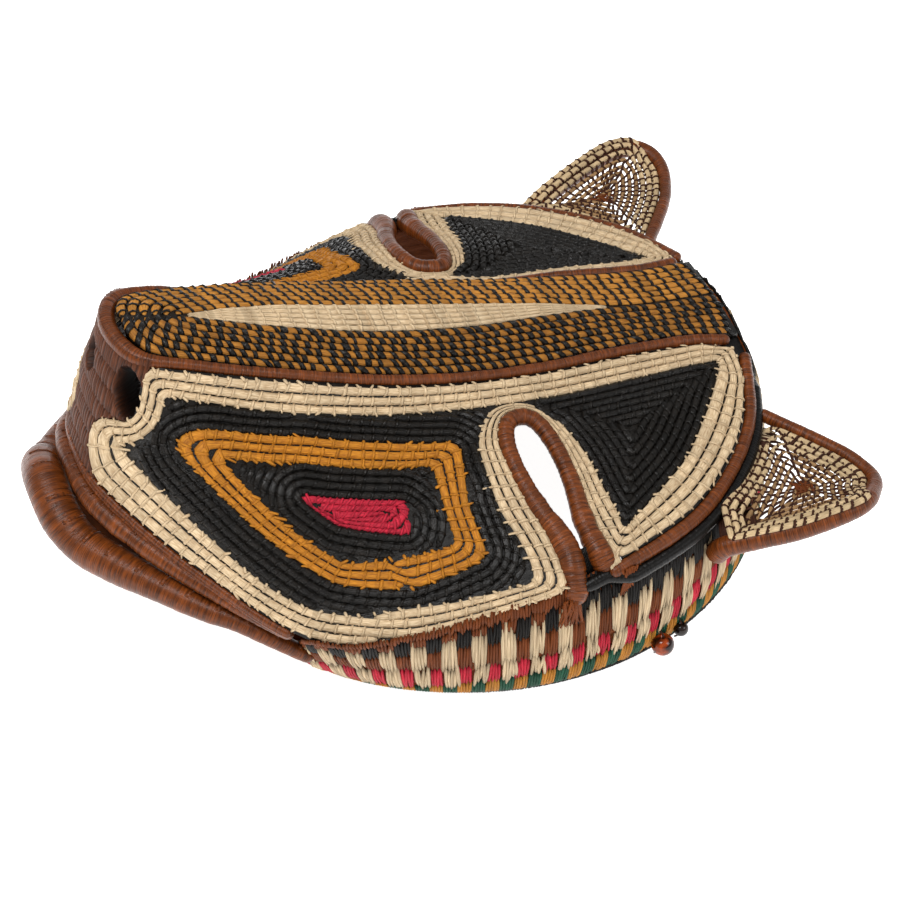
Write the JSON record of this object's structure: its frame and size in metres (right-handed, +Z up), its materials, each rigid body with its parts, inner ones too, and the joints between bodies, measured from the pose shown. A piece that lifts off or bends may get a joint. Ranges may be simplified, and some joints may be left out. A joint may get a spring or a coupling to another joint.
{
  "type": "woven animal mask",
  "caption": "Coiled-fibre animal mask with a long flat-topped snout, open eye slots, rolled lips, net ears and a round basket rim.",
  "frame": {"origin": "bottom centre of the bounding box, on the plane the rim lies on", "axes": "-X towards the snout, +X towards the forehead and ears, +Z up out of the face, +Y to the animal's right side"},
  "size_m": [0.3072, 0.2572, 0.1294],
  "materials": {
    "black_fibre": "black-dyed palm fibre, coiled and stitched, low sheen",
    "brown_fibre": "red-brown palm fibre, coiled, dull",
    "brown_wrap": "red-brown fibre wrapped closely round a roll, satin sheen",
    "gold_fibre": "gold-dyed palm fibre in brick-like stitches over black",
    "cream_fibre": "natural palm fibre, open net with brown stitches",
    "band_fibre": "stitched blocks of black, cream, brown, pink, gold and green fibre",
    "amber_glass": "glossy amber-brown bead",
    "black_glass": "glossy black bead"
  },
  "bodies": {
    "root": {"face_panel_left": "black_fibre", "face_panel_right": "black_fibre", "muzzle_front": "brown_fibre", "nose_ridge": "gold_fibre", "ridge_edging": "brown_wrap", "eye_roll_left": "brown_wrap", "eye_roll_right": "brown_wrap", "brow_roll_left": "brown_wrap", "brow_roll_right": "brown_wrap", "upper_lip": "brown_wrap", "lower_lip": "brown_wrap", "jaw": "brown_fibre", "head_band": "band_fibre", "ear_roll_left": "brown_wrap", "ear_roll_right": "brown_wrap", "ear_left": "cream_fibre", "ear_right": "cream_fibre", "bead_amber": "amber_glass", "bead_black": "black_glass"}
  },
  "joints": []
}
